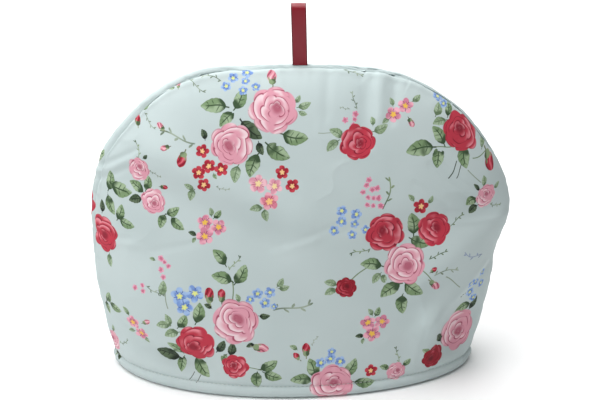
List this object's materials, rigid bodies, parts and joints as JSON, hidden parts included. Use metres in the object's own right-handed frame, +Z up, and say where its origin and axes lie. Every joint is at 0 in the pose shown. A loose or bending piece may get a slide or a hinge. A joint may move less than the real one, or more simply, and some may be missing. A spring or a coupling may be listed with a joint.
{
  "type": "tea cosy",
  "caption": "Dome-shaped padded tea cosy of flower-printed cotton, two panels sewn along one seam, with a turned hem and a ribbon loop on top.",
  "frame": {"origin": "on the table under the middle of the cosy, at the level of its hem", "axes": "+Z up, +X to the right along the width, -Y towards the viewer of the front panel"},
  "size_m": [0.3498, 0.1511, 0.3128],
  "materials": {
    "printed_cotton": "plain-woven cotton with a printed rose pattern on a pale grey-green ground",
    "satin_ribbon": "glossy dark red satin"
  },
  "bodies": {
    "root": {"front_panel": "printed_cotton", "back_panel": "printed_cotton", "ribbon_loop": "satin_ribbon"}
  },
  "joints": []
}
